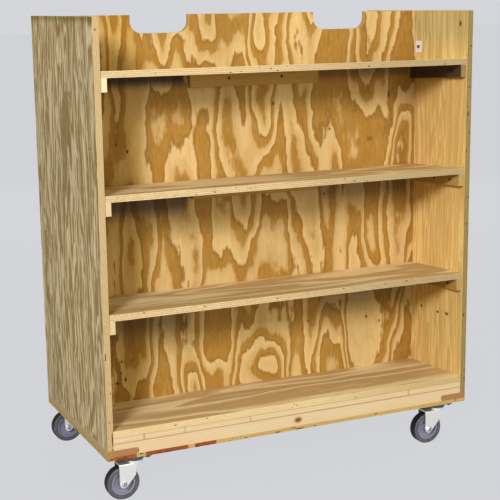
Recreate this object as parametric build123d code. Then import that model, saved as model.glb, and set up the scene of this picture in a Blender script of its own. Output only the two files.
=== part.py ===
from build123d import *
from math import cos, radians, tan
import os

# Plywood shelf cart on four swivel casters: two full-depth side panels, a centre panel between
# them with two hand holds, and shelves and a deck on both faces of the centre panel.
# Millimetres. X runs along the width, Y from the front to the rear, Z up.
# The origin is on the floor under the middle of the cart.

# Driving dimensions
WIDTH = 1219.0
DEPTH = 610.0
PANEL_HEIGHT = 1219.0
PLY = 19.0
BOTTOM_PLY = 12.0
CASTER_HEIGHT = 128.0
BOARD_WIDTH = 89.0
STRIP_WIDTH = 38.0
STRIP = 19.0
SHELF_TILT = 3.4
SHELF_RECESS = 4.0
SHELF_DROPS = {"top": 145.0, "middle": 485.0, "lower": 822.0}
ARRIS = 0.8

HOLD_SPACING = 610.0
HOLD_WIDTH = 187.0
HOLD_DEPTH = 54.0
HOLD_CORNER = 36.0

CENTRE_CLEAT_LENGTH = 437.0
LEDGER_WIDTH = 35.0

SWIVEL_INSET_X = 90.0
SWIVEL_INSET_Y = 31.0
TRAIL = 40.0
WHEEL_DIAMETER = 100.0
WHEEL_WIDTH = 32.0

# Levels, from the floor up
BASE_Z = CASTER_HEIGHT
RUNNER_Z = BASE_Z + BOTTOM_PLY
PANEL_Z = RUNNER_Z + STRIP
RAIL_TOP_Z = RUNNER_Z + STRIP_WIDTH
DECK_FRONT_Z = RAIL_TOP_Z + STRIP + PLY
TOP_Z = PANEL_Z + PANEL_HEIGHT

# Planes of the panels
HALF_WIDTH = WIDTH / 2
HALF_DEPTH = DEPTH / 2
INNER_X = HALF_WIDTH - PLY
CENTRE_FACE_Y = PLY / 2
BAY_WIDTH = 2 * INNER_X
SLOPE = tan(radians(SHELF_TILT))
LEAN_PLY = PLY / cos(radians(SHELF_TILT))
LEAN_STRIP = STRIP_WIDTH / cos(radians(SHELF_TILT))

SIDES = {"front": -1, "rear": 1}
ENDS = {"left": -1, "right": 1}


def eased(solid, radius=ARRIS):
    """Round every edge of a sawn piece a little."""
    return fillet(solid.edges(), radius)


def board(x_min, x_max, y_min, y_max, z_min, z_max):
    """A rectangular piece between two corners, with eased edges."""
    size = (x_max - x_min, y_max - y_min, z_max - z_min)
    middle = ((x_min + x_max) / 2, (y_min + y_max) / 2, (z_min + z_max) / 2)
    return eased(Pos(*middle) * Box(*size))


def strip_along_x(points, x_min, x_max):
    """A piece whose section is a list of (distance from the centre plane, z), on the rear side."""
    outline = [Vector(x_min, y, z) for y, z in points]
    section = make_face(Polyline(*outline, close=True))
    return eased(extrude(section, amount=x_max - x_min, dir=(1, 0, 0)))


def on_side(piece, side):
    """Move a piece made for the rear side to the side asked for."""
    return piece if SIDES[side] > 0 else mirror(piece, about=Plane.XZ)


def tilted_top(front_z, front_y, y):
    """Height of a surface that falls from its outer edge towards the centre panel."""
    return front_z - (front_y - y) * SLOPE


def tilted_section(front_z, front_y, back_y, thickness):
    """Section of a piece that leans like a shelf, cut upright at both ends."""
    back_z = tilted_top(front_z, front_y, back_y)
    return [
        (back_y, back_z),
        (front_y, front_z),
        (front_y, front_z - thickness),
        (back_y, back_z - thickness),
    ]


SHELF_FRONT_Y = HALF_DEPTH - SHELF_RECESS


def shelf(level):
    front_z = TOP_Z - SHELF_DROPS[level]
    section = tilted_section(front_z, SHELF_FRONT_Y, CENTRE_FACE_Y, LEAN_PLY)
    return strip_along_x(section, -INNER_X, INNER_X)


def underside(level):
    """Height of the outer lower edge of a shelf."""
    return TOP_Z - SHELF_DROPS[level] - LEAN_PLY


def side_cleat(level, end):
    section = tilted_section(underside(level), SHELF_FRONT_Y, CENTRE_FACE_Y, LEAN_STRIP)
    if end == "left":
        return strip_along_x(section, -INNER_X, -INNER_X + STRIP)
    return strip_along_x(section, INNER_X - STRIP, INNER_X)


def centre_cleat(level):
    outer_y = CENTRE_FACE_Y + STRIP
    outer_z = tilted_top(underside(level), SHELF_FRONT_Y, outer_y)
    inner_z = tilted_top(underside(level), SHELF_FRONT_Y, CENTRE_FACE_Y)
    foot_z = inner_z - STRIP_WIDTH
    section = [
        (CENTRE_FACE_Y, inner_z),
        (outer_y, outer_z),
        (outer_y, foot_z),
        (CENTRE_FACE_Y, foot_z),
    ]
    return strip_along_x(section, -CENTRE_CLEAT_LENGTH / 2, CENTRE_CLEAT_LENGTH / 2)


def deck():
    section = tilted_section(DECK_FRONT_Z, HALF_DEPTH, CENTRE_FACE_Y, LEAN_PLY)
    return strip_along_x(section, -INNER_X, INNER_X)


def deck_riser():
    """The bevelled strip that lifts the outer edge of a deck."""
    deck_foot = DECK_FRONT_Z - LEAN_PLY
    inner_y = HALF_DEPTH - STRIP_WIDTH
    section = [
        (HALF_DEPTH, RAIL_TOP_Z),
        (HALF_DEPTH, deck_foot),
        (inner_y, tilted_top(deck_foot, HALF_DEPTH, inner_y)),
        (inner_y, RAIL_TOP_Z),
    ]
    return strip_along_x(section, -INNER_X, INNER_X)


def deck_ledger():
    """The strip beside the centre panel that carries the inner edge of a deck."""
    deck_foot = DECK_FRONT_Z - LEAN_PLY
    outer_y = CENTRE_FACE_Y + LEDGER_WIDTH
    section = [
        (CENTRE_FACE_Y, PANEL_Z),
        (CENTRE_FACE_Y, tilted_top(deck_foot, HALF_DEPTH, CENTRE_FACE_Y)),
        (outer_y, tilted_top(deck_foot, HALF_DEPTH, outer_y)),
        (outer_y, PANEL_Z),
    ]
    return strip_along_x(section, -INNER_X, INNER_X)


def rail():
    """The base rail, notched at both ends to sit over the runners."""
    notch_x = HALF_WIDTH - BOARD_WIDTH
    outline = [
        (-INNER_X, RAIL_TOP_Z),
        (INNER_X, RAIL_TOP_Z),
        (INNER_X, PANEL_Z),
        (notch_x, PANEL_Z),
        (notch_x, RUNNER_Z),
        (-notch_x, RUNNER_Z),
        (-notch_x, PANEL_Z),
        (-INNER_X, PANEL_Z),
    ]
    corners = [Vector(x, HALF_DEPTH - STRIP, z) for x, z in outline]
    face = make_face(Polyline(*corners, close=True))
    return eased(extrude(face, amount=STRIP, dir=(0, 1, 0)))


def side_panel(end):
    outer = HALF_WIDTH * ENDS[end]
    inner = INNER_X * ENDS[end]
    return board(min(outer, inner), max(outer, inner), -HALF_DEPTH, HALF_DEPTH, PANEL_Z, TOP_Z)


def runner(end):
    outer = HALF_WIDTH * ENDS[end]
    inner = (HALF_WIDTH - BOARD_WIDTH) * ENDS[end]
    return board(min(outer, inner), max(outer, inner), -HALF_DEPTH, HALF_DEPTH, RUNNER_Z, PANEL_Z)


def hand_hold(x):
    """The tool for a U-shaped hand hold, open at the top edge."""
    above = 10.0
    block = Pos(x, 0, TOP_Z - HOLD_DEPTH) * Box(
        HOLD_WIDTH, 2 * PLY, HOLD_DEPTH + above, align=(Align.CENTER, Align.CENTER, Align.MIN)
    )
    lower = block.faces().sort_by(Axis.Z)[0].edges().filter_by(Axis.Y)
    return fillet(lower, HOLD_CORNER)


def centre_panel():
    blank = Box(BAY_WIDTH, PLY, PANEL_HEIGHT, align=(Align.CENTER, Align.CENTER, Align.MIN))
    blank = Pos(0, 0, PANEL_Z) * blank
    for sign in (-1, 1):
        blank -= hand_hold(sign * HOLD_SPACING / 2)
    return eased(blank)


# Screws: a shallow round head and a plain shank, placed head face outwards along a direction
SCREW_HEAD_RADIUS = 4.2
SCREW_HEAD_HEIGHT = 1.4
SCREW_SHANK_RADIUS = 2.1
SIDE_SCREW_LENGTH = 31.0
CENTRE_SCREW_LENGTH = 27.0
BASE_SCREW_LENGTH = 30.0
SIDE_SCREW_SETBACKS = (50.0, 140.0, 225.0)
CENTRE_SCREW_X = 90.0
CENTRE_SCREW_DROP = 14.0
BASE_SCREW_SPACING = 225.0
BASE_SCREW_COUNT = 5


def screw(point, direction, length):
    """Screw with its head standing on a face at a point; direction points out of the face."""
    plane = Plane(origin=point, z_dir=direction)
    head = Pos(0, 0, SCREW_HEAD_HEIGHT / 2) * Cylinder(SCREW_HEAD_RADIUS, SCREW_HEAD_HEIGHT)
    rim = head.edges().sort_by(Axis.Z)[-1]
    head = fillet(rim, SCREW_HEAD_HEIGHT / 2)
    shank = Pos(0, 0, -length / 2) * Cylinder(SCREW_SHANK_RADIUS, length)
    return plane * (head + shank)


def screw_hole(point, direction, length):
    plane = Plane(origin=point, z_dir=direction)
    return plane * (Pos(0, 0, -length / 2) * Cylinder(SCREW_SHANK_RADIUS, length))


def side_cleat_screws(side, end):
    """Places of the screws in the three cleats of one column: (point, direction)."""
    places = []
    inner_face = (INNER_X - STRIP) * ENDS[end]
    for level in SHELF_DROPS:
        for setback in SIDE_SCREW_SETBACKS:
            y = SHELF_FRONT_Y - setback
            z = tilted_top(underside(level), SHELF_FRONT_Y, y) - STRIP_WIDTH / 2
            places.append(((inner_face, y * SIDES[side], z), (-ENDS[end], 0, 0)))
    return places


def centre_cleat_screws(side):
    places = []
    for level in SHELF_DROPS:
        z = tilted_top(underside(level), SHELF_FRONT_Y, CENTRE_FACE_Y + STRIP) - CENTRE_SCREW_DROP
        for sign in (-1, 1):
            point = (sign * CENTRE_SCREW_X, (CENTRE_FACE_Y + STRIP) * SIDES[side], z)
            places.append((point, (0, SIDES[side], 0)))
    return places


def base_screw_places():
    """Screws driven up through the bottom panel into the rails and the sleeper."""
    places = []
    rail_y = HALF_DEPTH - STRIP / 2
    for place in GridLocations(BASE_SCREW_SPACING, rail_y, BASE_SCREW_COUNT, 3):
        x, y, _ = place.position
        places.append(((x, y, BASE_Z), (0, 0, -1)))
    return places


# Casters
PLATE_LENGTH = 92.0
PLATE_WIDTH = 56.0
PLATE_THICKNESS = 3.0
PLATE_CORNER = 6.0
MOUNT_SPAN_X = 72.0
MOUNT_SPAN_Y = 38.0
MOUNT_HOLE_RADIUS = 4.3
MOUNT_SHANK_RADIUS = 3.9
MOUNT_HEAD_ACROSS = 12.0
MOUNT_HEAD_HEIGHT = 5.0
MOUNT_HEAD_CHAMFER = 0.8
MOUNT_DEPTH = 11.0
RACE_RADIUS = 24.0
SKIRT_RADIUS = 27.0
SKIRT_WALL = 1.8
SKIRT_GAP = 1.0
SKIRT_ROUNDING = 0.6
KINGPIN_RADIUS = 6.0
KINGPIN_HEAD_RADIUS = 10.0
KINGPIN_HEAD_HEIGHT = 4.0
KINGPIN_HEAD_ROUNDING = 1.8
KINGPIN_GAP = 0.5
RUN_CLEARANCE = 0.05
CROWN_TOP = 110.0
CROWN_THICKNESS = 3.0
LOWER_RACE_TOP = 115.0
UPPER_RACE_FOOT = 120.0
BALL_GAP = 0.3
BALL_RADIUS = 2.2
BALL_CIRCLE = 19.5
BALL_COUNT = 18
LEG_THICKNESS = 2.5
LEG_GAP = 39.0
LEG_BOSS_RADIUS = 13.0
LEG_REAR_TOP = -14.0
LEG_FRONT_TOP = 39.0
LEG_KNEE = (36.5, 23.0)
BEND_RADIUS = 4.0
AXLE_Z = WHEEL_DIAMETER / 2
AXLE_RADIUS = 5.0
SLEEVE_RADIUS = 6.5
NUT_ACROSS = 16.0
NUT_HEIGHT = 7.0
NUT_CHAMFER = 1.0
THREAD_SHOWING = 1.5
TYRE_SHOULDER = 6.0
CORE_RADIUS = 36.0
CORE_RIM = 5.0
CORE_WIDTH = 28.0
BOSS_RADIUS = 13.0
BOSS_WIDTH = 37.0
WEB_THICKNESS = 9.0
WEB_RING_RADII = (19.0, 22.0)
WEB_RING_HEIGHT = 3.0

CASTERS = {
    "front_left": (-1, -1),
    "front_right": (1, -1),
    "rear_left": (-1, 1),
    "rear_right": (1, 1),
}


def swivel_axis(corner):
    end, side = CASTERS[corner]
    return (HALF_WIDTH - SWIVEL_INSET_X) * end, (HALF_DEPTH - SWIVEL_INSET_Y) * side


def mount_points(corner):
    x, y = swivel_axis(corner)
    half_x = MOUNT_SPAN_X / 2
    half_y = MOUNT_SPAN_Y / 2
    return [(x + sx * half_x, y + sy * half_y) for sx in (-1, 1) for sy in (-1, 1)]


def disc(radius, z_min, z_max):
    return Pos(0, 0, (z_min + z_max) / 2) * Cylinder(radius, z_max - z_min)


def caster_plate():
    """Top plate with its pressed upper race and skirt, about the swivel axis."""
    outline = RectangleRounded(PLATE_LENGTH, PLATE_WIDTH, PLATE_CORNER)
    plate = Pos(0, 0, BASE_Z - PLATE_THICKNESS) * extrude(outline, amount=PLATE_THICKNESS)
    plate_foot = BASE_Z - PLATE_THICKNESS
    race = disc(RACE_RADIUS, UPPER_RACE_FOOT, plate_foot)
    skirt_foot = LOWER_RACE_TOP + SKIRT_GAP
    skirt = disc(SKIRT_RADIUS, skirt_foot, plate_foot)
    skirt -= disc(SKIRT_RADIUS - SKIRT_WALL, skirt_foot, plate_foot)
    body = plate + race + skirt
    skirt_rim = body.edges().filter_by(GeomType.CIRCLE).group_by(Axis.Z)[0]
    body = fillet(skirt_rim.sort_by(SortBy.RADIUS)[-1], SKIRT_ROUNDING)
    body -= disc(KINGPIN_RADIUS, UPPER_RACE_FOOT, BASE_Z)
    for sx in (-1, 1):
        for sy in (-1, 1):
            hole = Cylinder(MOUNT_HOLE_RADIUS, 4 * PLATE_THICKNESS)
            body -= Pos(sx * MOUNT_SPAN_X / 2, sy * MOUNT_SPAN_Y / 2, BASE_Z) * hole
    return body


def kingpin():
    shank_foot = CROWN_TOP - CROWN_THICKNESS - KINGPIN_GAP
    head = disc(KINGPIN_HEAD_RADIUS, shank_foot - KINGPIN_HEAD_HEIGHT, shank_foot)
    head = fillet(head.edges().sort_by(Axis.Z)[0], KINGPIN_HEAD_ROUNDING)
    return head + disc(KINGPIN_RADIUS, shank_foot, BASE_Z)


def swivel_balls():
    height = LOWER_RACE_TOP + BALL_GAP + BALL_RADIUS
    ring = PolarLocations(BALL_CIRCLE, BALL_COUNT)
    return [Pos(0, 0, height) * place * Sphere(BALL_RADIUS) for place in ring]


def fork_leg_outline():
    """Leg seen from the side: wide at the crown, tapering to a round boss at the axle."""
    top = CROWN_TOP - AXLE_Z
    rim = Polyline((LEG_REAR_TOP, top), (LEG_FRONT_TOP, top), LEG_KNEE)
    return make_hull(rim.edges() + Circle(LEG_BOSS_RADIUS).edges())


def fork():
    """Yoke about the swivel axis, with the axle a trail behind it towards -X."""
    profile = extrude(Plane.XZ * fork_leg_outline(), amount=LEG_GAP, both=True)
    profile = Pos(-TRAIL, 0, AXLE_Z) * profile
    crown_foot = CROWN_TOP - CROWN_THICKNESS
    span = LEG_GAP + 2 * LEG_THICKNESS
    reach = 3 * WHEEL_DIAMETER
    outer = Pos(0, 0, CROWN_TOP) * Box(reach, span, reach, align=(Align.CENTER, Align.CENTER, Align.MAX))
    outer = fillet(outer.edges().filter_by(Axis.X).group_by(Axis.Z)[-1], BEND_RADIUS)
    inner = Pos(0, 0, crown_foot) * Box(
        2 * reach, LEG_GAP, 2 * reach, align=(Align.CENTER, Align.CENTER, Align.MAX)
    )
    inner = fillet(inner.edges().filter_by(Axis.X).group_by(Axis.Z)[-1], BEND_RADIUS - LEG_THICKNESS)
    body = profile & (outer - inner)
    body += disc(RACE_RADIUS, crown_foot, LOWER_RACE_TOP)
    body -= disc(KINGPIN_RADIUS + RUN_CLEARANCE, crown_foot - 1, LOWER_RACE_TOP + 1)
    bore = Pos(-TRAIL, 0, AXLE_Z) * Rot(90, 0, 0) * Cylinder(AXLE_RADIUS, 3 * LEG_GAP)
    return body - bore


def about_axle(piece):
    """Turn a piece made about Z so that it lies about the axle, with +Z going to -Y."""
    return Pos(-TRAIL, 0, AXLE_Z) * Rot(90, 0, 0) * piece


def hexagon(across, height, z_min):
    prism = extrude(RegularPolygon(across / 2, 6, major_radius=False), amount=height)
    return Pos(0, 0, z_min) * prism


def axle_bolt():
    half_span = LEG_GAP / 2 + LEG_THICKNESS
    end = half_span + NUT_HEIGHT + THREAD_SHOWING
    head = hexagon(NUT_ACROSS, NUT_HEIGHT, half_span)
    head = chamfer(head.edges().group_by(Axis.Z)[-1], NUT_CHAMFER)
    return about_axle(head + disc(AXLE_RADIUS, -end, half_span))


def axle_nut():
    half_span = LEG_GAP / 2 + LEG_THICKNESS
    nut = hexagon(NUT_ACROSS, NUT_HEIGHT, -half_span - NUT_HEIGHT)
    nut = chamfer(nut.edges().group_by(Axis.Z)[0], NUT_CHAMFER)
    return about_axle(nut - disc(AXLE_RADIUS, -half_span - NUT_HEIGHT, -half_span))


def axle_sleeve():
    half = LEG_GAP / 2
    return about_axle(disc(SLEEVE_RADIUS, -half, half) - disc(AXLE_RADIUS, -half, half))


def tyre():
    """Solid tyre with rounded shoulders and a low step at each side."""
    half = WHEEL_WIDTH / 2
    blank = disc(WHEEL_DIAMETER / 2, -half, half)
    rims = blank.edges().filter_by(GeomType.CIRCLE)
    blank = fillet(rims, TYRE_SHOULDER)
    return about_axle(blank - disc(CORE_RADIUS, -half, half))


def wheel_core():
    """Moulded centre: rim, thin web with a raised ring, and a boss around the sleeve."""
    half = CORE_WIDTH / 2
    body = disc(CORE_RADIUS, -half, half) - disc(CORE_RADIUS - CORE_RIM, -half, half)
    body += disc(CORE_RADIUS - CORE_RIM / 2, -WEB_THICKNESS / 2, WEB_THICKNESS / 2)
    ring_half = WEB_THICKNESS / 2 + WEB_RING_HEIGHT
    ring_inner, ring_outer = WEB_RING_RADII
    body += disc(ring_outer, -ring_half, ring_half) - disc(ring_inner, -ring_half, ring_half)
    body += disc(BOSS_RADIUS, -BOSS_WIDTH / 2, BOSS_WIDTH / 2)
    return about_axle(body - disc(SLEEVE_RADIUS + RUN_CLEARANCE, -BOSS_WIDTH, BOSS_WIDTH))


def mounting_screw(x, y):
    """Hex screw up through the caster plate into the bottom panel."""
    plate_foot = BASE_Z - PLATE_THICKNESS
    head = hexagon(MOUNT_HEAD_ACROSS, MOUNT_HEAD_HEIGHT, plate_foot - MOUNT_HEAD_HEIGHT)
    head = chamfer(head.edges().group_by(Axis.Z)[0], MOUNT_HEAD_CHAMFER)
    return Pos(x, y, 0) * (head + disc(MOUNT_SHANK_RADIUS, plate_foot, BASE_Z + MOUNT_DEPTH))


# Paper label inside the right panel, beside the centre panel
LABEL_HEIGHT = 37.0
LABEL_LENGTH = 34.0
LABEL_DROP = 97.0
LABEL_THICKNESS = 0.4
LABEL_SETBACK = 3.0


def label():
    y_min = -CENTRE_FACE_Y - LABEL_SETBACK - LABEL_LENGTH
    sheet = Box(LABEL_THICKNESS, LABEL_LENGTH, LABEL_HEIGHT)
    z = TOP_Z - LABEL_DROP - LABEL_HEIGHT / 2
    return Pos(INNER_X - LABEL_THICKNESS / 2, y_min + LABEL_LENGTH / 2, z) * sheet


def group(pieces):
    return Compound(children=list(pieces))


def drilled(piece, places, length):
    """Take the screw holes that reach this piece out of it."""
    return piece - [screw_hole(point, direction, length) for point, direction in places]


parts = {}
column_screws = {
    (side, end): side_cleat_screws(side, end) for side in SIDES for end in ENDS
}
centre_screws = {side: centre_cleat_screws(side) for side in SIDES}
base_screws = base_screw_places()

for end in ENDS:
    reach = column_screws["front", end] + column_screws["rear", end]
    parts[f"{end}_side_panel"] = drilled(side_panel(end), reach, SIDE_SCREW_LENGTH)
    parts[f"{end}_runner"] = runner(end)

reach = centre_screws["front"] + centre_screws["rear"]
parts["centre_panel"] = drilled(centre_panel(), reach, CENTRE_SCREW_LENGTH)

for side in SIDES:
    for level in SHELF_DROPS:
        parts[f"{side}_{level}_shelf"] = on_side(shelf(level), side)
    parts[f"{side}_deck"] = on_side(deck(), side)
    parts[f"{side}_deck_riser"] = on_side(deck_riser(), side)
    parts[f"{side}_rail"] = drilled(on_side(rail(), side), base_screws, BASE_SCREW_LENGTH)
    for end in ENDS:
        places = column_screws[side, end]
        cleats = [on_side(side_cleat(level, end), side) for level in SHELF_DROPS]
        parts[f"{side}_{end}_cleats"] = group(
            drilled(cleat, places, SIDE_SCREW_LENGTH) for cleat in cleats
        )
    cleats = [on_side(centre_cleat(level), side) for level in SHELF_DROPS]
    parts[f"{side}_centre_cleats"] = group(
        drilled(cleat, centre_screws[side], CENTRE_SCREW_LENGTH) for cleat in cleats
    )

parts["deck_ledgers"] = group(on_side(deck_ledger(), side) for side in SIDES)

sleeper_x = HALF_WIDTH - BOARD_WIDTH
sleeper = board(-sleeper_x, sleeper_x, -BOARD_WIDTH / 2, BOARD_WIDTH / 2, RUNNER_Z, PANEL_Z)
parts["centre_sleeper"] = drilled(sleeper, base_screws, BASE_SCREW_LENGTH)

mounts = [point for corner in CASTERS for point in mount_points(corner)]
bottom = board(-HALF_WIDTH, HALF_WIDTH, -HALF_DEPTH, HALF_DEPTH, BASE_Z, RUNNER_Z)
bottom = drilled(bottom, base_screws, BASE_SCREW_LENGTH)
bottom -= [Pos(x, y, 0) * disc(MOUNT_SHANK_RADIUS, BASE_Z, BASE_Z + MOUNT_DEPTH) for x, y in mounts]
parts["bottom_panel"] = bottom

side_places = [place for places in column_screws.values() for place in places]
centre_places = [place for places in centre_screws.values() for place in places]
cleat_screws = [screw(*place, SIDE_SCREW_LENGTH) for place in side_places]
cleat_screws += [screw(*place, CENTRE_SCREW_LENGTH) for place in centre_places]
parts["cleat_screws"] = group(cleat_screws)
parts["base_screws"] = group(screw(*place, BASE_SCREW_LENGTH) for place in base_screws)
parts["caster_mounting_screws"] = group(mounting_screw(x, y) for x, y in mounts)
parts["paper_label"] = label()

pins = []
balls = []
for corner in CASTERS:
    x, y = swivel_axis(corner)
    place = Pos(x, y, 0)
    pins.append(place * kingpin())
    balls += [place * ball for ball in swivel_balls()]
    parts[f"{corner}_caster_plate"] = place * caster_plate()
    parts[f"{corner}_fork"] = place * fork()
    parts[f"{corner}_axle_bolt"] = place * axle_bolt()
    parts[f"{corner}_axle_nut"] = place * axle_nut()
    parts[f"{corner}_axle_sleeve"] = place * axle_sleeve()
    parts[f"{corner}_wheel_core"] = place * wheel_core()
    parts[f"{corner}_tyre"] = place * tyre()
parts["kingpins"] = group(pins)
parts["swivel_balls"] = group(balls)

os.makedirs("parts", exist_ok=True)
for name, piece in parts.items():
    export_step(piece, f"parts/{name}.step")
print(len(parts), "nodes")
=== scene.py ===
import math

import bpy
from mathutils import Matrix, Vector


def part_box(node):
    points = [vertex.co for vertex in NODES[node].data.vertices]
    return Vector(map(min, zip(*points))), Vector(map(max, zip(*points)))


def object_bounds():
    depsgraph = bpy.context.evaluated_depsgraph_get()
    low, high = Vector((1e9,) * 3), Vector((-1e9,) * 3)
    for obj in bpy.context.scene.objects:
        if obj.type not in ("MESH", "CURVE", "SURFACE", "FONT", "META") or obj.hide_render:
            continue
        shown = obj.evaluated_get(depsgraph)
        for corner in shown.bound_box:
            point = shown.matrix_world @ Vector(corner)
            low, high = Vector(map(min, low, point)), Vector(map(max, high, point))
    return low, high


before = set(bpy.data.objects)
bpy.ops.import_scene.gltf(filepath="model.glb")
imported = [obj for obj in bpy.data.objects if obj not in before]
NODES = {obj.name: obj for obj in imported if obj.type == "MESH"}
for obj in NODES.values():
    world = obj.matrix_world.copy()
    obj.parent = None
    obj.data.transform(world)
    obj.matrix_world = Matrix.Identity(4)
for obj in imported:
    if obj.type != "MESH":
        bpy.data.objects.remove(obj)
BOX_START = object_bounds()


def srgb(r, g, b):
    """Linear colour of an 8-bit sRGB triple."""
    out = []
    for c in (r, g, b):
        c /= 255
        out.append(c / 12.92 if c <= 0.04045 else ((c + 0.055) / 1.055) ** 2.4)
    return (*out, 1.0)


class Graph:
    """One material, built by calls that each add a shader node and return its output."""

    def __init__(self, name):
        self.material = bpy.data.materials.new(name)
        self.material.use_nodes = True
        self.tree = self.material.node_tree
        self.tree.nodes.clear()
        self.output = self.tree.nodes.new("ShaderNodeOutputMaterial")
        self.coords = self.tree.nodes.new("ShaderNodeTexCoord")
        self.position = self.coords.outputs["Object"]
        self.normal = self.coords.outputs["Normal"]

    def put(self, socket, value):
        if isinstance(value, bpy.types.NodeSocket):
            self.tree.links.new(value, socket)
        elif value is not None:
            socket.default_value = value

    def math(self, op, a, b=None):
        n = self.tree.nodes.new("ShaderNodeMath")
        n.operation = op
        for socket, value in zip(n.inputs, (a, b)):
            self.put(socket, value)
        return n.outputs[0]

    def add(self, a, b):
        return self.math("ADD", a, b)

    def sub(self, a, b):
        return self.math("SUBTRACT", a, b)

    def mul(self, a, b):
        return self.math("MULTIPLY", a, b)

    def vmath(self, op, a, b=None):
        n = self.tree.nodes.new("ShaderNodeVectorMath")
        n.operation = op
        self.put(n.inputs[0], a)
        self.put(n.inputs[1], b)
        return n.outputs["Value"] if op in ("DOT_PRODUCT", "LENGTH") else n.outputs[0]

    def dot(self, a, b):
        return self.vmath("DOT_PRODUCT", a, b)

    def vec(self, x, y, z=0.0):
        n = self.tree.nodes.new("ShaderNodeCombineXYZ")
        for socket, value in zip(n.inputs, (x, y, z)):
            self.put(socket, value)
        return n.outputs[0]

    def absolute(self, value):
        return self.math("ABSOLUTE", value)

    def swing(self, value, width):
        """A value from 0 to 1 turned into one of the given width about zero."""
        return self.mul(self.sub(value, 0.5), width)

    def noise(self, vector, scale=1.0, detail=2.0, rough=0.5):
        n = self.tree.nodes.new("ShaderNodeTexNoise")
        n.noise_dimensions = "3D"
        self.put(n.inputs["Vector"], vector)
        self.put(n.inputs["Scale"], scale)
        self.put(n.inputs["Detail"], detail)
        self.put(n.inputs["Roughness"], rough)
        return n.outputs[0]

    def figure(self, u, v, sizes, w, detail=2.0, rough=0.5):
        """Noise whose features have the given sizes in metres across and along the grain."""
        across, along = sizes
        place = self.vec(self.mul(u, 1 / across), self.mul(v, 1 / along), w)
        return self.noise(place, detail=detail, rough=rough)

    def step(self, value, low, high, out_low=0.0, out_high=1.0):
        """Smooth step between two values; low may be above high."""
        n = self.tree.nodes.new("ShaderNodeMapRange")
        n.interpolation_type = "SMOOTHSTEP"
        n.clamp = True
        for key, v in (("Value", value), ("From Min", low), ("From Max", high),
                       ("To Min", out_low), ("To Max", out_high)):
            self.put(n.inputs[key], v)
        return n.outputs[0]

    def mix(self, factor, a, b, mode="MIX"):
        n = self.tree.nodes.new("ShaderNodeMix")
        n.data_type = "RGBA"
        n.blend_type = mode
        n.clamp_factor = True
        self.put(n.inputs["Factor"], factor)
        self.put(n.inputs[6], a)
        self.put(n.inputs[7], b)
        return n.outputs[2]

    def lerp(self, factor, a, b):
        """Mix of two numbers."""
        n = self.tree.nodes.new("ShaderNodeMix")
        n.data_type = "FLOAT"
        n.clamp_factor = True
        self.put(n.inputs[0], factor)
        self.put(n.inputs[2], a)
        self.put(n.inputs[3], b)
        return n.outputs[0]

    def scaled(self, color, factor):
        """A colour made lighter or darker by a number."""
        return self.mix(1.0, color, self.vec(factor, factor, factor), "MULTIPLY")

    def bump(self, height, strength, distance):
        n = self.tree.nodes.new("ShaderNodeBump")
        self.put(n.inputs["Strength"], strength)
        self.put(n.inputs["Distance"], distance)
        self.put(n.inputs["Height"], height)
        return n.outputs[0]

    def surface(self, color, roughness=0.5, metallic=0.0, normal=None, specular=0.5):
        n = self.tree.nodes.new("ShaderNodeBsdfPrincipled")
        self.put(n.inputs["Base Color"], color)
        self.put(n.inputs["Roughness"], roughness)
        self.put(n.inputs["Metallic"], metallic)
        self.put(n.inputs["Specular IOR Level"], specular)
        if normal is not None:
            self.put(n.inputs["Normal"], normal)
        self.tree.links.new(n.outputs[0], self.output.inputs["Surface"])
        return self.material


def middle(node):
    """Middle of a CAD node's box."""
    low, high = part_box(node)
    return (Vector(low) + Vector(high)) / 2


def blob(g, place, centre, radii):
    """1 at the centre of an ellipse on a face, falling smoothly to 0 at its rim."""
    away = g.vmath("SUBTRACT", place, (centre[0], centre[1], 0.0))
    away = g.vmath("MULTIPLY", away, (1 / radii[0], 1 / radii[1], 0.0))
    return g.step(g.vmath("LENGTH", away), 1.0, 0.0)


def face_places(g, origin, across, along):
    """Places in metres across and along the grain from a piece's middle, and the vector from there."""
    p = g.vmath("SUBTRACT", g.position, tuple(origin))
    return g.dot(p, tuple(across)), g.dot(p, tuple(along)), p


# Sizes of the wood's figures across and along the grain, in metres
BEND = (0.09, 0.16)
SWAY = (0.11, 0.20)
DRIFT = (0.30, 0.6)
JAG = (0.009, 0.11)
MOTTLE = (0.007, 0.03)
FINE = (0.0016, 0.07)
WOBBLE = (0.024, 0.045)
PORES = (0.0016, 0.0012)
EDGE_RAG = (0.004, 0.002)
PINE_BOW = (0.05, 0.55)
PINE_FINE = (0.0012, 0.05)
PINE_TONE = (0.03, 0.3)
# Size of the ragged lower edge of the painted shade below the shelves
PAINTED_SHADE_RAG = 0.006
PLY_WANDER = 0.09
# Other lengths in metres, and shares of a ring or a layer from 0 to 1
WARP_ALONG = 2.5
LATE_START = 0.42
LAYERS = 7
TONE_LENGTH = 0.05
VOID_LENGTH = 0.013
GAP_HALF_HEIGHT = 0.0026
SPAN_BLEND = 0.003
OTHER_FACE = 11.0
PITH = (0.05, -0.07)
RING = 0.0048
# Colour of the painted shade just below the shelves
PAINTED_SHADE_COLOR = srgb(34, 22, 30)
KNOT_COLOR = srgb(58, 38, 24)
PINE_KNOT_COLOR = srgb(96, 60, 34)
VOID_COLOR = srgb(30, 20, 14)
GAP_COLOR = srgb(38, 28, 16)
# Colour of the painted shade along the edges where sawn strips meet
SEAM_SHADE_COLOR = srgb(160, 120, 80)
JOINT_COLOR = srgb(140, 100, 62)
LABEL_ROW = 0.0042


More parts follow.
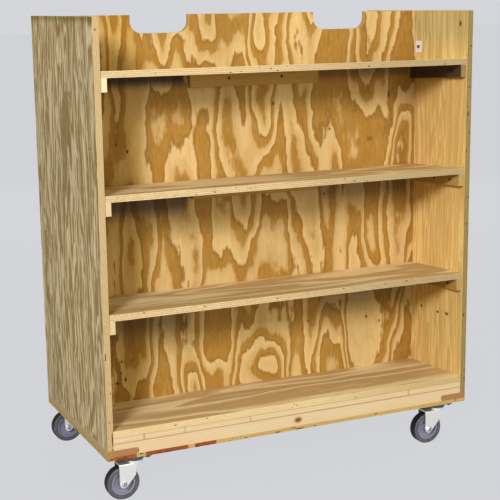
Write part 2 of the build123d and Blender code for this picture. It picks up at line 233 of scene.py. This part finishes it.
def veneer(g, u, v, seed, look):
    """Rotary-cut softwood face: steep rings of late wood that taper into flames and arches."""
    bend = g.figure(u, v, BEND, g.add(seed, 3.3), 1.5)
    sway = g.figure(u, v, SWAY, g.add(seed, 5.9), 1.5)
    warped_u = g.add(u, g.swing(bend, look["warp"]))
    warped_v = g.add(v, g.swing(sway, WARP_ALONG * look["warp"]))
    place = g.vec(warped_u, warped_v)
    drift = g.figure(u, v, DRIFT, seed, 1.0)
    broad = g.figure(warped_u, warped_v, look["spread"], seed, 1.3, 0.4)
    jag = g.figure(u, v, JAG, g.add(seed, 2.1), 2.5, 0.65)
    mottle = g.figure(u, v, MOTTLE, g.add(seed, 9.6), 2.0, 0.6)
    fine = g.figure(u, v, FINE, g.add(seed, 4.7))
    wobble = g.figure(u, v, WOBBLE, g.add(seed, 8.2))
    # The field counts rings: its fraction is the place in a ring, from early wood to late wood
    field = g.add(look["base"], g.mul(g.step(broad, 0.30, 0.70), look["rings"]))
    field = g.add(field, g.swing(wobble, look["wobble"]))
    field = g.add(field, g.mul(warped_v, look["taper"]))
    field = g.add(field, g.swing(jag, look["jag"]))
    for centre, radii, amount in look.get("patches", ()):
        field = g.add(field, g.mul(blob(g, place, centre, radii), amount))
    ring = g.math("FRACT", field)
    soft = look["soft"]
    rise = look.get("rise", (LATE_START - soft, LATE_START + soft))
    late = g.mul(g.step(ring, *rise), g.step(ring, 1.0, 0.97 - soft))
    rim = g.mul(g.step(ring, 0.80, 0.95 - soft / 2), g.step(ring, 1.0, 0.98 - soft / 2))
    color = g.mix(g.step(ring, 0.02, 0.5, 0.0, 0.28), look["early"], look["late"])
    depth = g.add(0.80, g.swing(mottle, 0.9))
    color = g.mix(g.mul(late, depth), color, look["late"])
    color = g.mix(g.mul(rim, look["line"]), color, look["rim"])
    shade = g.add(1.0, g.swing(fine, look["streak"]))
    shade = g.add(shade, g.swing(drift, 0.4))
    shade = g.add(shade, g.swing(mottle, 0.26))
    color = g.scaled(color, shade)
    height = g.add(g.mul(late, 0.5), g.mul(fine, 0.8))
    # Tinted bands at places along the grain, and strips of painted shadow at places across it
    for place_on_face, key in ((v, "tints"), (u, "strips")):
        for start, full, tint, amount in look.get(key, ()):
            tinted = g.mix(1.0, color, tint, "MULTIPLY")
            color = g.mix(g.mul(g.step(place_on_face, start, full), amount), color, tinted)
    # Painted shade: a dark band with a ragged lower edge just below each shelf
    for (left, right), (low, high), depth in look.get("painted_shade_bands", ()):
        ragged = g.add(v, g.swing(g.noise(g.vec(g.mul(u, 1 / PAINTED_SHADE_RAG), seed, 7.0), detail=3.0), 0.03))
        painted_band = g.mul(g.step(ragged, low, high), g.step(v, high + 0.026, high + 0.018))
        ends = g.mul(g.step(u, left, left + 0.02), g.step(u, right, right - 0.02))
        color = g.mix(g.mul(g.mul(painted_band, ends), depth), color, PAINTED_SHADE_COLOR)
    place = g.vec(u, v)
    for centre, radii, dark in look.get("knots", ()):
        k = blob(g, place, centre, radii)
        color = g.mix(g.mul(g.step(k, 0.0, 0.5), 0.55 * dark), color, look["rim"])
        color = g.mix(g.mul(g.step(k, 0.35, 0.8), dark), color, KNOT_COLOR)
        height = g.sub(height, g.mul(k, 0.6))
    return color, height


def ply_edge(g, along_pos, through, thickness, grain_dot, cross_dot, seed, look):
    """Cut edge of plywood: every other layer shows end grain, between glue lines, with voids."""
    layers = look.get("layers", LAYERS)
    t = g.mul(g.add(g.mul(through, 1 / thickness), 0.5), float(layers))
    wander = g.noise(g.vec(g.mul(along_pos, 1 / PLY_WANDER), seed), detail=1.0)
    t = g.add(t, g.swing(wander, 0.5))
    layer = g.math("FLOOR", t)
    cross = g.math("PINGPONG", layer, 1.0)
    end_grain = g.lerp(cross, grain_dot, cross_dot)
    tone_length = look.get("tone_length", TONE_LENGTH)
    tone = g.noise(g.vec(g.mul(along_pos, 1 / tone_length), g.mul(layer, 3.7), seed))
    pores = g.figure(along_pos, through, PORES, seed)
    long_color = g.mix(tone, look["edge_pale"], look["edge_tan"])
    end_color = g.mix(g.step(pores, 0.35, 0.7), look["edge_end"], look["edge_pale"])
    color = g.mix(end_grain, long_color, end_color)
    if "edge_drift" in look:
        start, full, tint = look["edge_drift"]
        color = g.mix(g.mul(g.step(along_pos, start, full), 0.6), color, tint)
    for start, end, tint, amount in look.get("edge_spans", ()):
        ragged = g.add(along_pos, g.swing(g.figure(along_pos, through, EDGE_RAG, seed), 0.010))
        span = g.mul(g.step(ragged, start - SPAN_BLEND, start + SPAN_BLEND),
                     g.step(ragged, end + SPAN_BLEND, end - SPAN_BLEND))
        span = g.mul(span, g.step(grain_dot, 0.6, 0.4))
        color = g.mix(g.mul(span, amount), color, tint)
    within = g.absolute(g.sub(g.math("FRACT", t), 0.5))
    glue = g.step(within, 0.40, 0.50)
    color = g.mix(g.mul(glue, look.get("glue", 0.55)), color, look["edge_glue"])
    gap = g.noise(g.vec(g.mul(along_pos, 1 / VOID_LENGTH), g.mul(layer, 9.1), g.add(seed, 5.5)), detail=0.0)
    void = g.mul(g.step(gap, look["voids"], look["voids"] + 0.03), cross)
    void = g.mul(void, g.step(within, 0.48, 0.36))
    color = g.mix(void, color, VOID_COLOR)
    place = g.vec(along_pos, through)
    for centre, depth_in, half_length in look.get("edge_gaps", ()):
        gap = g.step(blob(g, place, (centre, depth_in), (half_length, GAP_HALF_HEIGHT)), 0.1, 0.5)
        color = g.mix(g.mul(gap, 0.9), color, GAP_COLOR)
    height = g.sub(g.mul(pores, 0.4), g.mul(void, 2.0))
    return color, height


def plywood(name, node, thickness, normal, along, seed, look):
    """Plywood with its own grain direction; the face figure differs between the two faces."""
    g = Graph(name)
    normal = Vector(normal).normalized()
    along = Vector(along).normalized()
    across = along.cross(normal)
    u, v, p = face_places(g, middle(node), across, along)
    through = g.dot(p, tuple(normal))
    facing = g.dot(g.normal, tuple(normal))
    back = g.step(facing, -0.1, 0.1, 0.0, 1.0)
    face_color, face_height = veneer(g, u, v, g.add(seed, g.mul(back, OTHER_FACE)), look)
    grain_dot = g.absolute(g.dot(g.normal, tuple(along)))
    cross_dot = g.absolute(g.dot(g.normal, tuple(across)))
    edge_pos = g.lerp(g.step(grain_dot, 0.4, 0.6), v, u)
    edge_color, edge_height = ply_edge(g, edge_pos, through, thickness, grain_dot, cross_dot,
                                       g.add(seed, g.mul(grain_dot, 3.0)), look)
    on_face = g.step(g.absolute(facing), 0.55, 0.8)
    color = g.mix(on_face, edge_color, face_color)
    height = g.lerp(on_face, edge_height, face_height)
    rough = g.lerp(on_face, 0.8, 0.62)
    return g.surface(color, rough, normal=g.bump(height, 0.35, 0.0006), specular=0.25)


def pine(name, node, along, seed, look):
    """Sawn softwood: growth rings about a distant pith, cut by the faces of the piece."""
    g = Graph(name)
    along = Vector(along).normalized()
    side = Vector((0, 0, 1)) if abs(along.z) < 0.9 else Vector((1, 0, 0))
    across = along.cross(side).normalized()
    side = across.cross(along).normalized()
    u, v, p = face_places(g, middle(node), across, along)
    w = g.dot(p, tuple(side))
    bow = g.figure(u, v, PINE_BOW, g.add(g.mul(w, 1 / PINE_BOW[0]), seed), 1.5)
    du = g.add(u, g.add(PITH[0], g.swing(bow, 0.018)))
    dw = g.add(w, g.add(PITH[1], g.swing(bow, 0.012)))
    radius = g.math("SQRT", g.add(g.mul(du, du), g.mul(dw, dw)))
    ring = g.math("FRACT", g.add(g.mul(radius, 1 / look.get("ring", RING)), g.mul(bow, 1.2)))
    late = g.mul(g.step(ring, 0.35, 0.9), g.step(ring, 1.0, 0.95))
    fine = g.figure(u, v, PINE_FINE, g.mul(w, 1 / PINE_FINE[0]))
    end = g.step(g.absolute(g.dot(g.normal, tuple(along))), 0.5, 0.8)
    tone = g.figure(u, v, PINE_TONE, g.add(g.mul(w, 1 / PINE_TONE[0]), seed), 1.0)
    color = g.mix(g.mul(late, g.lerp(end, 0.75, 0.9)), look["early"], look["late"])
    color = g.mix(g.step(tone, 0.35, 0.7), color, g.mix(0.5, color, look["tone"]))
    color = g.mix(g.mul(end, look.get("end_dark", 0.5)), color, look["end"])
    color = g.scaled(color, g.add(0.96, g.swing(fine, 0.22)))
    height = g.add(g.mul(fine, 0.8), g.mul(late, 0.4))
    place = g.vec(v, w)
    for centre, radii, dark in look.get("knots", ()):
        k = blob(g, place, centre, radii)
        color = g.mix(g.mul(g.step(k, 0.0, 0.5), 0.6 * dark), color, look["knot_rim"])
        color = g.mix(g.mul(g.step(k, 0.45, 0.8), 0.8 * dark), color, PINE_KNOT_COLOR)
    # Painted shade: a dark line along each edge where the strip meets its neighbour
    for level in look.get("shaded_seams", ()):
        line = g.step(g.absolute(g.sub(w, level)), 0.0036, 0.0010)
        color = g.mix(g.mul(line, 0.5), color, SEAM_SHADE_COLOR)
    # Pieces above the given height take the given colour: paler on the left cleats, near-black painted
    # shade on the right cleats
    if "above" in look:
        start, upper = look["above"]
        high = g.step(g.dot(g.position, (0, 0, 1)), start, start + 0.01)
        color = g.mix(g.mul(high, g.lerp(end, 0.9, 0.35)), color, upper)
    for start, depth in look.get("joints", ()):
        line = g.step(g.absolute(g.sub(v, start)), 0.0045, 0.0015)
        color = g.mix(g.mul(line, depth), color, JOINT_COLOR)
    return g.surface(color, g.lerp(end, 0.6, 0.8), normal=g.bump(height, 0.3, 0.0005), specular=0.25)


def repaint(node, material):
    """Give a CAD node one material; its mesh stays as it is."""
    mesh = NODES[node].data
    mesh.materials.clear()
    mesh.materials.append(material)


# Painted shade on the centre panel, a dark band at its two ends just below each shelf:
# how far each starts and reaches below the shelf's inner edge, and how dark its left and right ends are
PAINTED_SHADE_REACH = ((-0.5715, -0.2185), (0.2185, 0.5715))
PAINTED_SHADE_LEVELS = {"top": (0.010, 0.046, (0.88, 0.5)), "middle": (0.048, 0.110, (0.74, 0.5)),
                "lower": (0.080, 0.140, (0.40, 0.4))}
PAINTED_SHADE_BANDS = []
for level, (start, drop, depths) in PAINTED_SHADE_LEVELS.items():
    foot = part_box(f"front_{level}_shelf")[0][2] - middle("centre_panel").z
    PAINTED_SHADE_BANDS += [(reach, (foot - drop, foot - start), depth) for reach, depth in zip(PAINTED_SHADE_REACH, depths)]

# Plywood looks. Places on a face are metres across and along the grain from the panel's middle:
# knots and patches are (place, radii, depth), tints (along) and painted shadow strips (across) are
# (start, full, tint, depth).
# Places on an edge are metres along it: gaps are (place, place through the panel, half length).
CENTRE = {
    "spread": (0.12, 0.70), "rings": 2.7, "taper": 1.3, "warp": 0.045, "jag": 0.3, "wobble": 0.45,
    "base": 0.1, "soft": 0.08, "rise": (0.41, 0.57), "line": 0.4, "streak": 0.30,
    "early": srgb(198, 172, 128), "late": srgb(152, 112, 34), "rim": srgb(118, 80, 22),
    "edge_pale": srgb(206, 184, 136), "edge_tan": srgb(180, 150, 100), "edge_end": srgb(152, 120, 74),
    "edge_glue": srgb(88, 62, 34), "voids": 0.76, "painted_shade_bands": PAINTED_SHADE_BANDS,
    # Painted shadow of the left side panel over the centre panel's left part
    "strips": ((-0.355, -0.395, (0.78, 0.68, 0.34, 1.0), 0.7),),
    "patches": (
        ((-0.06, 0.58), (0.17, 0.17), 1.7), ((0.03, -0.52), (0.16, 0.15), 1.6),
        ((-0.21, -0.56), (0.13, 0.16), 1.5), ((0.055, 0.28), (0.16, 0.26), 0.5),
        ((-0.26, 0.15), (0.12, 0.14), 0.7),
    ),
    "knots": (
        ((-0.419, 0.208), (0.008, 0.012), 0.8), ((-0.454, 0.23), (0.007, 0.010), 0.8),
        ((0.069, 0.33), (0.007, 0.011), 0.8), ((-0.13, 0.42), (0.005, 0.008), 0.8),
        ((0.42, 0.2), (0.02, 0.016), 0.35), ((0.49, 0.34), (0.006, 0.02), 0.7),
        ((0.27, 0.24), (0.006, 0.008), 0.7), ((0.25, 0.03), (0.007, 0.009), 0.7),
        ((-0.39, 0.0), (0.006, 0.008), 0.6), ((-0.475, -0.508), (0.009, 0.008), 0.9),
        ((-0.448, -0.50), (0.007, 0.012), 0.9), ((-0.462, -0.478), (0.006, 0.008), 0.7),
        ((-0.421, -0.44), (0.006, 0.008), 0.5), ((-0.459, -0.44), (0.007, 0.010), 0.6),
        ((0.41, -0.4), (0.008, 0.009), 0.8), ((0.46, -0.42), (0.006, 0.009), 0.7),
        ((0.19, -0.39), (0.008, 0.006), 0.6),
    ),
}
SIDE = {
    "spread": (0.05, 0.60), "rings": 2.8, "taper": 1.2, "warp": 0.045, "jag": 1.2, "wobble": 0.6,
    "base": 0.3, "soft": 0.17, "line": 0.3, "streak": 0.42,
    "early": srgb(209, 195, 177), "late": srgb(138, 111, 56), "rim": srgb(118, 92, 44),
    "edge_pale": srgb(197, 179, 149), "edge_tan": srgb(176, 150, 112), "edge_end": srgb(166, 138, 100),
    "edge_glue": srgb(126, 98, 62), "glue": 0.32, "voids": 0.80, "tone_length": 0.012,
    "edge_gaps": ((-0.575, -0.0058, 0.034), (-0.606, -0.006, 0.004), (0.575, 0.002, 0.005)),
    "tints": ((0.588, 0.604, (0.55, 0.56, 0.36, 1.0), 0.85),),
    "knots": (((0.245, 0.25), (0.012, 0.005), 0.8), ((-0.24, -0.04), (0.012, 0.004), 0.5)),
}
RIGHT = {
    "spread": (0.045, 0.95), "rings": 3.2, "taper": 1.6, "warp": 0.02, "jag": 0.3, "wobble": 0.3,
    "base": 0.25, "soft": 0.20, "line": 0.25, "streak": 0.3,
    "early": srgb(232, 204, 146), "late": srgb(212, 178, 114), "rim": srgb(172, 132, 72),
    "edge_pale": srgb(168, 150, 106), "edge_tan": srgb(138, 118, 78), "edge_end": srgb(114, 94, 60),
    "edge_glue": srgb(70, 54, 34), "voids": 0.74,
    "edge_gaps": ((0.5025, -0.003, 0.006), (0.293, 0.002, 0.013), (0.235, -0.004, 0.006),
                  (-0.053, 0.0, 0.007), (-0.3505, 0.002, 0.008)),
    "tints": ((0.42, 0.56, (0.72, 0.80, 0.98, 1.0), 0.9),),
    "knots": (((0.265, 0.57), (0.011, 0.016), 0.9), ((0.07, -0.37), (0.010, 0.009), 0.9),
              ((0.167, -0.37), (0.012, 0.008), 0.9), ((0.22, -0.365), (0.018, 0.010), 0.8),
              ((0.15, 0.055), (0.010, 0.008), 0.8)),
}
SHELF = {
    "spread": (0.13, 0.90), "rings": 1.7, "taper": 0.6, "warp": 0.04, "jag": 0.12, "wobble": 0.15,
    "base": 0.2, "soft": 0.26, "line": 0.3, "streak": 0.24,
    "early": srgb(232, 213, 180), "late": srgb(188, 156, 112), "rim": srgb(156, 122, 78),
    "edge_pale": srgb(224, 206, 178), "edge_tan": srgb(190, 162, 126), "edge_end": srgb(160, 132, 98),
    "edge_glue": srgb(112, 84, 50), "voids": 0.78, "edge_drift": (-0.2, 0.45, srgb(150, 135, 106)),
}
DECK = dict(SHELF, edge_pale=srgb(226, 210, 180), edge_tan=srgb(206, 180, 142),
            edge_end=srgb(186, 158, 120), edge_drift=(0.0, 0.5, srgb(176, 156, 116)))
BASE = {
    "spread": (0.10, 0.70), "rings": 2.4, "taper": 1.5, "warp": 0.03, "jag": 0.35, "wobble": 0.3,
    "base": 0.2, "soft": 0.12, "line": 0.4, "streak": 0.3,
    "early": srgb(186, 146, 96), "late": srgb(150, 104, 58), "rim": srgb(110, 70, 36),
    "edge_pale": srgb(206, 184, 130), "edge_tan": srgb(184, 150, 94), "edge_end": srgb(160, 126, 78),
    "edge_glue": srgb(86, 58, 30), "voids": 0.72, "layers": 5, "tone_length": 0.4,
    "edge_spans": ((-0.592, -0.522, srgb(146, 66, 22), 0.85), (-0.494, -0.362, srgb(142, 60, 20), 0.9),
                   (-0.341, -0.273, srgb(146, 62, 22), 0.9), (-0.620, -0.592, srgb(150, 110, 60), 0.7)),
    "edge_gaps": ((-0.598, 0.000, 0.011), (-0.508, 0.003, 0.009), (-0.425, -0.004, 0.014),
                  (-0.068, -0.003, 0.013), (0.005, -0.003, 0.026)),
}
SHELF_VOIDS = {
    "top_shelf": ((-0.206, -0.006, 0.005), (0.244, -0.003, 0.005)),
    "middle_shelf": ((-0.261, -0.003, 0.005), (0.196, -0.003, 0.005)),
    "lower_shelf": ((-0.299, 0.003, 0.004), (-0.064, 0.0, 0.005), (0.307, 0.004, 0.004)),
    "deck": (),
}
PLY = 0.019
BASE_PLY = 0.012
TILT = math.radians(3.4)
TO_LEFT, TO_FRONT, UP = (-1, 0, 0), (0, -1, 0), (0, 0, 1)
ALONG_X, ALONG_Y, ALONG_Z = (1, 0, 0), (0, 1, 0), (0, 0, 1)

# Each panel: material, node, thickness, face direction, grain direction, seed and look
for name, node, thickness, facing, grain, seed, look in (
        ("centre_plywood", "centre_panel", PLY, TO_FRONT, ALONG_Z, 3.0, CENTRE),
        ("left_plywood", "left_side_panel", PLY, TO_LEFT, ALONG_Z, 21.0, SIDE),
        ("right_plywood", "right_side_panel", PLY, TO_LEFT, ALONG_Z, 33.0, RIGHT),
        ("base_plywood", "bottom_panel", BASE_PLY, UP, ALONG_X, 45.0, BASE)):
    repaint(node, plywood(name, node, thickness, facing, grain, seed, look))

for side, sign, first_seed in (("front", -1, 50.0), ("rear", 1, 90.0)):
    lean = (0, -sign * math.sin(TILT), math.cos(TILT))
    for index, (part, gaps) in enumerate(SHELF_VOIDS.items()):
        node = f"{side}_{part}"
        look = dict(DECK if part == "deck" else SHELF, edge_gaps=gaps)
        seed = first_seed + 6.7 * index
        repaint(node, plywood(f"{node}_plywood", node, PLY, lean, ALONG_X, seed, look))

# Sawn strips: knots, joints and lines of painted shade where a strip meets its neighbour are metres along
# the strip and up from its middle
PALE = {
    "early": srgb(214, 197, 174), "late": srgb(196, 169, 136), "tone": srgb(212, 182, 154),
    "end": srgb(192, 158, 120), "knot_rim": srgb(158, 112, 66),
}
TOP_CLEAT_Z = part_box("front_middle_shelf")[1][2] + 0.05
LEFT_CLEAT = dict(PALE, end=srgb(204, 182, 154), end_dark=0.7, ring=0.0035,
                  above=(TOP_CLEAT_Z, srgb(246, 238, 216)))
# The near-black colour of the top right cleats is painted shade under the top shelf
RIGHT_CLEAT = dict(PALE, early=srgb(196, 162, 104), late=srgb(160, 124, 70), tone=srgb(160, 124, 70),
                   end=srgb(172, 150, 106), end_dark=0.7, ring=0.0035,
                   above=(TOP_CLEAT_Z, srgb(58, 43, 40)))
RUNNER = dict(PALE, early=srgb(186, 170, 140), late=srgb(158, 138, 104), tone=srgb(176, 158, 126),
              end=srgb(160, 112, 80), end_dark=0.8)
CENTRE_STRIP = dict(PALE, early=srgb(190, 158, 92), late=srgb(158, 122, 62), tone=srgb(168, 132, 70))
RAIL = dict(PALE, shaded_seams=(0.019,), knots=(
    ((0.0, 0.0), (0.022, 0.015), 1.0), ((-0.5175, -0.0095), (0.0045, 0.014), 1.0),
    ((0.519, -0.0095), (0.003, 0.012), 0.8)))
RISER = dict(PALE, shaded_seams=(-0.0095, 0.0095),
             joints=((-0.498, 0.45), (-0.371, 0.3), (-0.16, 0.3), (0.394, 0.4)))

# Each strip: material, node, grain direction, seed and look
STRIPS = []
for side in ("front", "rear"):
    STRIPS += [
        (f"{side}_rail_pine", f"{side}_rail", ALONG_X, 1.3, RAIL),
        (f"{side}_riser_pine", f"{side}_deck_riser", ALONG_X, 4.9, RISER),
        (f"{side}_centre_cleat_pine", f"{side}_centre_cleats", ALONG_X, 8.1, CENTRE_STRIP),
        (f"{side}_left_cleats_pine", f"{side}_left_cleats", ALONG_Y, 12.0, LEFT_CLEAT),
        (f"{side}_right_cleats_pine", f"{side}_right_cleats", ALONG_Y, 17.0, RIGHT_CLEAT)]
STRIPS += [
    ("ledger_pine", "deck_ledgers", ALONG_X, 23.0, PALE),
    ("sleeper_pine", "centre_sleeper", ALONG_X, 27.0, PALE),
    ("left_runner_pine", "left_runner", ALONG_Y, 31.0, RUNNER),
    ("right_runner_pine", "right_runner", ALONG_Y, 31.0, RUNNER)]
for name, node, grain, seed, look in STRIPS:
    repaint(node, pine(name, node, grain, seed, look))


def black_screw():
    """Dull black of the wood screws."""
    g = Graph("black_phosphate_screw")
    n = g.noise(g.position, 900.0, 3.0)
    color = g.mix(n, srgb(22, 21, 22), srgb(52, 49, 48))
    return g.surface(color, g.add(0.38, g.mul(n, 0.25)), 0.6, g.bump(n, 0.2, 0.0002))


def zinc(name, tint):
    """Plated steel, a little cloudy and brushed."""
    g = Graph(name)
    cloud = g.noise(g.position, 120.0, 3.0, 0.6)
    grain = g.noise(g.vmath("MULTIPLY", g.position, (1400.0, 1400.0, 260.0)), 1.0, 2.0)
    color = g.mix(cloud, tint, g.scaled(tint, 0.86))
    rough = g.add(0.30, g.mul(cloud, 0.22))
    return g.surface(color, rough, 0.85, g.bump(grain, 0.12, 0.0002))


def axle_end(node):
    """Bright zinc with a darker ring round the axle's middle."""
    g = Graph(f"{node}_zinc")
    cloud = g.noise(g.position, 120.0, 3.0, 0.6)
    away = g.vmath("MULTIPLY", g.vmath("SUBTRACT", g.position, tuple(middle(node))), (1.0, 0.0, 1.0))
    reach = g.vmath("LENGTH", away)
    ring = g.mul(g.step(reach, 0.0018, 0.0030), g.step(reach, 0.0056, 0.0046))
    color = g.mix(g.mul(ring, 0.8), srgb(206, 208, 214), srgb(96, 98, 108))
    return g.surface(color, g.add(0.30, g.mul(cloud, 0.22)), 0.85, specular=0.5)


def rubber():
    """Grey rubber, worn darker on the tread than on the sides."""
    g = Graph("grey_rubber_tyre")
    speck = g.noise(g.position, 1500.0, 2.0)
    dust = g.noise(g.position, 60.0, 3.0, 0.6)
    side = g.step(g.absolute(g.dot(g.normal, ALONG_Y)), 0.25, 0.8)
    tread = g.mix(dust, srgb(20, 19, 22), srgb(38, 37, 42))
    wall = g.mix(g.step(dust, 0.4, 0.75), srgb(84, 84, 98), srgb(102, 102, 118))
    color = g.mix(side, tread, wall)
    rough = g.add(0.5, g.mul(dust, 0.25))
    return g.surface(color, rough, normal=g.bump(speck, 0.25, 0.0003), specular=0.4)


def moulded():
    """Grey moulded plastic of the wheel cores."""
    g = Graph("moulded_grey_core")
    speck = g.noise(g.position, 2200.0, 2.0)
    cloud = g.noise(g.position, 90.0, 3.0)
    color = g.mix(cloud, srgb(128, 126, 154), srgb(150, 148, 178))
    rough = g.add(0.36, g.mul(cloud, 0.2))
    return g.surface(color, rough, normal=g.bump(speck, 0.15, 0.0002), specular=0.5)


def paper():
    """White label with a generic mark: a grey block between faint broken lines."""
    g = Graph("white_paper_label")
    p = g.vmath("SUBTRACT", g.position, tuple(middle("paper_label")))
    y = g.dot(p, ALONG_Y)
    z = g.dot(p, ALONG_Z)
    block = g.mul(g.step(g.absolute(g.add(y, -0.002)), 0.009, 0.008),
                  g.step(g.absolute(g.add(z, 0.001)), 0.0055, 0.0045))
    row = g.absolute(g.sub(g.math("FRACT", g.mul(z, 1 / LABEL_ROW)), 0.5))
    breaks = g.noise(g.vec(g.mul(y, 900.0), g.mul(z, 240.0)), detail=1.0)
    lines = g.mul(g.step(row, 0.16, 0.10), g.step(breaks, 0.45, 0.55))
    lines = g.mul(lines, g.step(g.absolute(y), 0.0135, 0.013))
    ink = g.math("MAXIMUM", block, g.mul(lines, 0.45))
    fibre = g.noise(g.position, 1800.0, 3.0)
    color = g.mix(ink, g.mix(fibre, srgb(232, 232, 246), srgb(222, 222, 238)), srgb(112, 106, 122))
    return g.surface(color, 0.75, normal=g.bump(fibre, 0.15, 0.0002), specular=0.2)


BLACK = black_screw()
BRIGHT = zinc("bright_zinc", srgb(242, 242, 246))
DULL = zinc("dull_zinc", srgb(104, 108, 112))
RUBBER = rubber()
MOULDED = moulded()
DULL_ENDINGS = ("_caster_plate", "_axle_sleeve", "kingpins", "swivel_balls", "caster_mounting_screws")
SHARED = {"cleat_screws": BLACK, "base_screws": BLACK, "_fork": BRIGHT, "_tyre": RUBBER,
          "_wheel_core": MOULDED}
SHARED.update((ending, DULL) for ending in DULL_ENDINGS)
for node in NODES:
    if node.endswith(("_axle_bolt", "_axle_nut")):
        repaint(node, axle_end(node))
    for ending, material in SHARED.items():
        if node.endswith(ending):
            repaint(node, material)
repaint("paper_label", paper())

# Studio: one pale floor, a warm soft fill from all round, a key light from the front left,
# a soft light in front and a soft one behind
EXPOSURE = 0.12
GAMMA = 0.88
BACKDROP = srgb(209, 210, 214)
FILL_COLOR = (1.0, 0.92, 0.46, 1.0)
FILL_ABOVE = 0.50
FILL_BELOW = 0.28
FLOOR_HALF = 60.0
FLOOR_DIFFUSE = 0.03
FLOOR_SPECK = 0.005
FLOOR_GLOW = 0.955
scene = bpy.context.scene
scene.view_settings.view_transform = "Standard"
scene.view_settings.look = "None"
scene.view_settings.exposure = EXPOSURE
scene.view_settings.gamma = GAMMA

world = bpy.data.worlds.new("soft_fill")
world.use_nodes = True
sky = world.node_tree
sky.nodes.clear()


def world_node(kind, **inputs):
    """A node of the world; an underscore in a key stands for the space in the socket's name."""
    n = sky.nodes.new(kind)
    for key, value in inputs.items():
        socket = n.inputs[key.replace("_", " ")]
        if isinstance(value, bpy.types.NodeSocket):
            sky.links.new(value, socket)
        else:
            socket.default_value = value
    return n


direction = world_node("ShaderNodeTexCoord").outputs["Generated"]
height = world_node("ShaderNodeSeparateXYZ", Vector=direction).outputs["Z"]
lift = world_node("ShaderNodeMapRange", Value=height, From_Min=-0.35, From_Max=0.25,
                  To_Min=FILL_BELOW, To_Max=FILL_ABOVE).outputs[0]
fill = world_node("ShaderNodeBackground", Color=FILL_COLOR, Strength=lift)
seen = world_node("ShaderNodeBackground", Color=BACKDROP, Strength=1.0)
direct = world_node("ShaderNodeLightPath").outputs["Is Camera Ray"]
blend = sky.nodes.new("ShaderNodeMixShader")
sky.links.new(direct, blend.inputs[0])
sky.links.new(fill.outputs[0], blend.inputs[1])
sky.links.new(seen.outputs[0], blend.inputs[2])
sky.links.new(blend.outputs[0], world_node("ShaderNodeOutputWorld").inputs["Surface"])
scene.world = world

floor_mesh = bpy.data.meshes.new("studio_floor")
corners = ((-1, -1), (1, -1), (1, 1), (-1, 1))
floor_mesh.from_pydata([(x * FLOOR_HALF, y * FLOOR_HALF, 0) for x, y in corners], [], [(0, 1, 2, 3)])
floor = bpy.data.objects.new("studio_floor", floor_mesh)
scene.collection.objects.link(floor)


def floor_look():
    """A floor that glows like the backdrop, so that it has no edge, and takes a faint shadow."""
    g = Graph("pale_floor")
    speck = g.noise(g.position, 3.0, 3.0)
    diffuse = g.tree.nodes.new("ShaderNodeBsdfDiffuse")
    shade = g.add(FLOOR_DIFFUSE, g.mul(speck, FLOOR_SPECK))
    g.put(diffuse.inputs["Color"], g.scaled(BACKDROP, shade))
    glow = g.tree.nodes.new("ShaderNodeEmission")
    g.put(glow.inputs["Color"], BACKDROP)
    g.put(glow.inputs["Strength"], FLOOR_GLOW)
    both = g.tree.nodes.new("ShaderNodeAddShader")
    g.put(both.inputs[0], diffuse.outputs[0])
    g.put(both.inputs[1], glow.outputs[0])
    g.tree.links.new(both.outputs[0], g.output.inputs["Surface"])
    return g.material


floor_mesh.materials.append(floor_look())
floor.visible_diffuse = False


def area_light(name, azimuth, elevation, distance, size, power, color, target):
    """Square light aimed at the target; azimuth runs from straight in front towards the left."""
    a, e = math.radians(azimuth), math.radians(elevation)
    toward = Vector((-math.sin(a) * math.cos(e), -math.cos(a) * math.cos(e), math.sin(e)))
    data = bpy.data.lights.new(name, "AREA")
    data.shape = "SQUARE"
    data.size = size
    data.energy = power
    data.color = color
    lamp = bpy.data.objects.new(name, data)
    scene.collection.objects.link(lamp)
    lamp.location = target + toward * distance
    lamp.rotation_mode = "QUATERNION"
    lamp.rotation_quaternion = (-toward).to_track_quat("-Z", "Y")


# Each light: name, azimuth, elevation, distance and size in metres, watts and colour
LOW, HIGH = (Vector(c) for c in BOX_START)
for row in (("key", 39, 23, 7.0, 1.15, 360.0, (1.0, 1.0, 0.99)),
            ("front_fill", -10, 14, 5.0, 3.0, 98.0, (1.0, 0.98, 0.84)),
            ("back_fill", 205, 18, 6.0, 3.5, 190.0, (1.0, 0.99, 0.94))):
    area_light(*row, target=(LOW + HIGH) / 2)

# Camera: a long lens, to the left of the front and a little above, solved from the photograph
camera_data = bpy.data.cameras.new("camera")
camera = bpy.data.objects.new("camera", camera_data)
scene.collection.objects.link(camera)
scene.camera = camera
CAMERA_PLACE = Vector((-1.6334, -3.4985, 1.40645))
YAW, PITCH, ROLL = (math.radians(angle) for angle in (24.846, 11.31, -0.724))
SENSOR = 36.0
LENS = 88.69
level = Vector((math.cos(YAW), -math.sin(YAW), 0))
ahead = Vector((math.sin(YAW) * math.cos(PITCH), math.cos(YAW) * math.cos(PITCH), -math.sin(PITCH)))
above = level.cross(ahead)
right = level * math.cos(ROLL) + above * math.sin(ROLL)
up = above * math.cos(ROLL) - level * math.sin(ROLL)
turn = Matrix((right, up, -ahead)).transposed()
camera.matrix_world = Matrix.Translation(CAMERA_PLACE) @ turn.to_4x4()
camera_data.sensor_width = SENSOR
camera_data.lens = LENS
